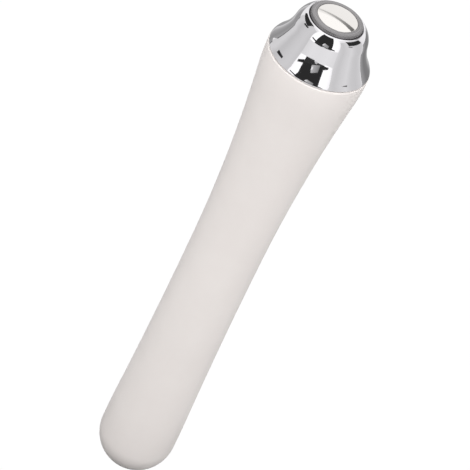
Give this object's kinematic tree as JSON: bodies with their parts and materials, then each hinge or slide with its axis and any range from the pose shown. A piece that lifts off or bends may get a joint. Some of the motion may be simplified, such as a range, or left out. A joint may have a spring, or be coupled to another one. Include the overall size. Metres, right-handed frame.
{
  "type": "heated eye massager wand",
  "caption": "Slender massage wand with a soft round heated tip, a flared barrel and a polished bell-shaped screw cap with a push button in its end.",
  "frame": {"origin": "the end of the round tip, on the wand's axis", "axes": "+Z along the wand's axis from the heated tip to the push button; X and Y are across it, and the return strip under the skin lies on +X"},
  "size_m": [0.0239, 0.0238, 0.1477],
  "materials": {
    "silicone": "matte",
    "core_plastic": "matte",
    "insert_plastic": "satin",
    "dome_aluminium": "satin",
    "film": "satin",
    "sensor": "satin",
    "steel": "satin",
    "bronze": "satin",
    "contact_metal": "satin",
    "board": "satin",
    "chip": "matte",
    "wrap": "gloss",
    "seal_rubber": "matte",
    "bright_cap": "mirror polish",
    "spun_ring": "spun",
    "wire_jacket": "satin"
  },
  "bodies": {
    "wand": {"silicone_sleeve": "silicone", "heat_dome": "dome_aluminium", "heater_film": "film", "thermistor": "sensor", "thermal_cutoff": "sensor", "core_tube": "core_plastic", "return_strip": "contact_metal", "mouth_contact": "contact_metal", "motor_can": "steel", "motor_end_cap": "insert_plastic", "motor_terminals": "contact_metal", "motor_bush": "bronze", "motor_mount": "insert_plastic", "mount_retainer": "steel", "motor_screws": "steel", "front_damper": "seal_rubber", "rear_damper": "seal_rubber", "bulkhead": "insert_plastic", "control_board": "board", "driver_chip": "chip", "board_parts": "chip", "board_screws": "steel", "front_contact": "contact_metal", "cell_can": "steel", "cell_wrap": "wrap", "cell_nub": "steel", "motor_leads": "wire_jacket", "heater_leads": "wire_jacket", "sensor_leads": "wire_jacket"},
    "rotor": {"motor_shaft": "steel", "eccentric_weight": "steel"},
    "seal": {"seal_ring": "seal_rubber"},
    "cap": {"cap_shell": "bright_cap", "trim_ring": "spun_ring", "cap_insert": "insert_plastic", "cap_contact": "contact_metal", "spring_plate": "contact_metal", "switch_board": "board", "switch_body": "chip", "cap_screws": "steel", "cell_spring": "steel", "button_spring": "steel", "cap_leads": "wire_jacket"},
    "button": {"button_cap": "bright_cap", "button_pad": "seal_rubber", "switch_plunger": "core_plastic"}
  },
  "joints": [
    {"name": "motor_spin", "type": "hinge", "parent": "wand", "child": "rotor", "pos_m": [0, 0, 0.02], "axis": [0, 0, 1], "continuous": true},
    {"name": "cap_lift", "type": "slide", "parent": "wand", "child": "seal", "axis": [0, 0, 1], "range_m": [0, 0.006]},
    {"name": "cap_turn", "type": "hinge", "parent": "seal", "child": "cap", "pos_m": [0, 0, 0.1387], "axis": [0, 0, 1], "range_deg": [0, 720.1]},
    {"name": "button_press", "type": "slide", "parent": "cap", "child": "button", "axis": [0, 0, -1], "range_m": [0, 0.0007], "stiffness_N_per_m": 1500, "springref_m": -0.0002, "deforming": ["button_spring"]}
  ],
  "couplings": [
    {"joint": "cap_turn", "follows": "cap_lift", "rad_per_m": 2094.4}
  ]
}
